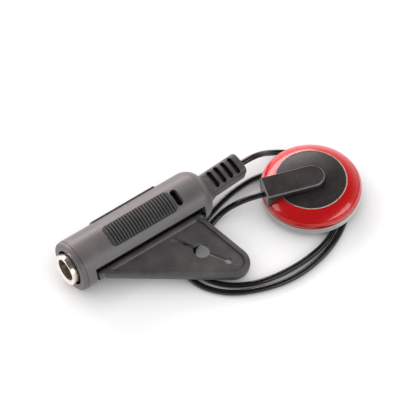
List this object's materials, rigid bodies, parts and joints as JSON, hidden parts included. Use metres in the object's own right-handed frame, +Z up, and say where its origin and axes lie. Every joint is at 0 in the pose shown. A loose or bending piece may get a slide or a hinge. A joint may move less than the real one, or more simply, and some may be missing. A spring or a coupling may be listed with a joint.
{
  "type": "piezo contact pickup with inline jack",
  "caption": "Stick-on piezo pickup: red round sensor with black cap, thin lead, and a ribbed grey jack barrel with a triangular strap flap.",
  "frame": {"origin": "centre of the jack bore at its mouth", "axes": "+X along the barrel from the jack mouth to the strain relief, +Z up from the table that the barrel, lead and flap lie on"},
  "size_m": [0.0874, 0.0438, 0.0154],
  "materials": {
    "barrel_plastic": "satin moulded plastic",
    "grip_rubber": "matt ribbed rubber",
    "core_plastic": "black moulded plastic",
    "nickel": "bright nickel plate",
    "flap_rubber": "soft matt rubber",
    "boot_rubber": "soft satin rubber",
    "lead_jacket": "glossy cable jacket",
    "contact_metal": "plated spring strip",
    "solder": "solder",
    "wire_red": "insulated wire",
    "wire_black": "insulated wire",
    "cover_red": "metallic red lacquer",
    "cap_plastic": "fine satin black",
    "ring_metal": "thin bright ring",
    "base_plastic": "pale smooth plastic",
    "plate_brass": "rolled brass",
    "ceramic": "silvered ceramic",
    "foam": "closed cell foam"
  },
  "bodies": {
    "root": {"barrel_shell": "barrel_plastic", "grip_pad_top": "grip_rubber", "grip_pad_back": "grip_rubber", "jack_core": "core_plastic", "jack_sleeve": "nickel", "strap_flap": "flap_rubber", "strain_relief": "boot_rubber", "lead": "lead_jacket", "tip_spring": "contact_metal", "sleeve_lug": "contact_metal", "tip_solder": "solder", "sleeve_solder": "solder", "signal_wire_jack": "wire_red", "ground_wire_jack": "wire_black", "sensor_cover": "cover_red", "sensor_cap": "cap_plastic", "trim_ring": "ring_metal", "sensor_base": "base_plastic", "piezo_plate": "plate_brass", "piezo_ceramic": "ceramic", "plate_solder": "solder", "ceramic_solder": "solder", "signal_wire_sensor": "wire_red", "ground_wire_sensor": "wire_black", "backing_foam": "foam"}
  },
  "joints": []
}
